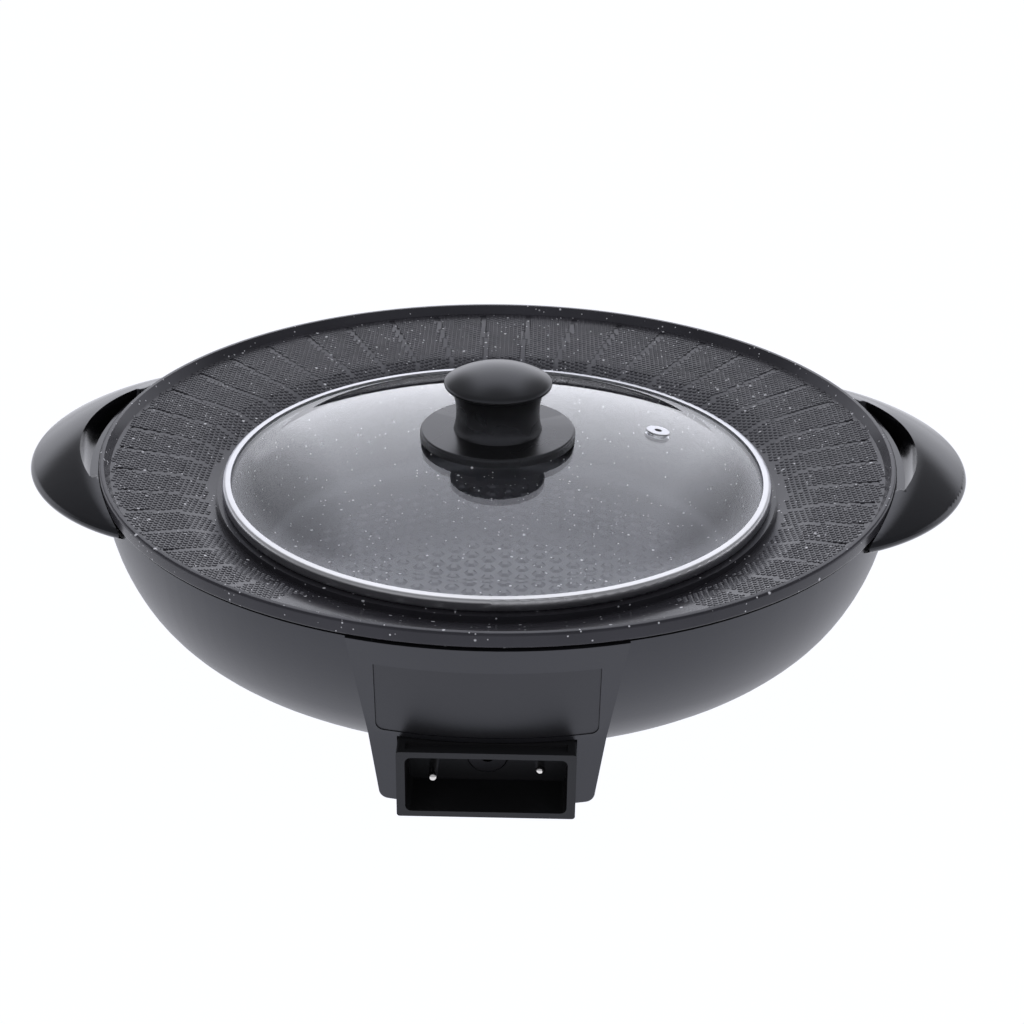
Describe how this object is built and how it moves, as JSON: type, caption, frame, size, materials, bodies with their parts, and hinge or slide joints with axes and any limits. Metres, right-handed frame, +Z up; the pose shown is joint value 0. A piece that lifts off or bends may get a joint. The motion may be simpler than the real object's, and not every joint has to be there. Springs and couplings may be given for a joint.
{
  "type": "electric griddle",
  "caption": "Round table-top electric griddle with a grooved grill ring around an off-centre pot well, a domed glass lid, side handles and a plug-in socket at the front.",
  "frame": {"origin": "on the floor under the axis of the pan rim, at the centre of the footprint", "axes": "+Z up, -Y towards the socket and control box, the two handles along +X and -X"},
  "size_m": [0.4454, 0.376, 0.1338],
  "materials": {
    "base_black": "satin moulded black",
    "panel_black": "fine matt black",
    "socket_black": "matt moulded black",
    "handle_gloss": "polished black",
    "pan_coating": "dark speckled non-stick coating on cast metal",
    "rim_steel": "polished stainless steel",
    "lid_glass": "clear tempered glass",
    "knob_black": "satin black",
    "pin_metal": "bright nickel plate",
    "sleeve_metal": "dulled steel",
    "screw_steel": "zinc-plated steel",
    "foot_rubber": "soft black rubber",
    "gasket_rubber": "pale silicone",
    "shield_sheet": "aluminised sheet",
    "spacer_resin": "brown phenolic resin",
    "heater_sheath": "dull heater tube",
    "insert_brass": "plain brass"
  },
  "bodies": {
    "base": {"base_shell": "base_black", "front_panel": "panel_black", "socket_housing": "socket_black", "terminal_pin_left": "pin_metal", "terminal_pin_right": "pin_metal", "probe_sleeve": "sleeve_metal", "socket_screws": "screw_steel", "handle_left": "handle_gloss", "handle_right": "handle_gloss", "handle_screws": "screw_steel", "feet": "foot_rubber", "heat_shield": "shield_sheet", "shield_spacers": "spacer_resin", "heating_element": "heater_sheath", "pan_screws": "screw_steel", "grill_pan": "pan_coating"},
    "lid": {"lid_rim": "rim_steel", "lid_glass": "lid_glass", "knob_base": "knob_black", "lid_knob": "knob_black", "knob_insert": "insert_brass", "knob_gasket": "gasket_rubber", "knob_washer": "screw_steel", "knob_screw": "screw_steel", "vent_grommet": "rim_steel"}
  },
  "joints": [
    {"name": "lid_lift", "type": "slide", "parent": "base", "child": "lid", "axis": [0, 0, 1], "range_m": [0, 0.12]}
  ]
}
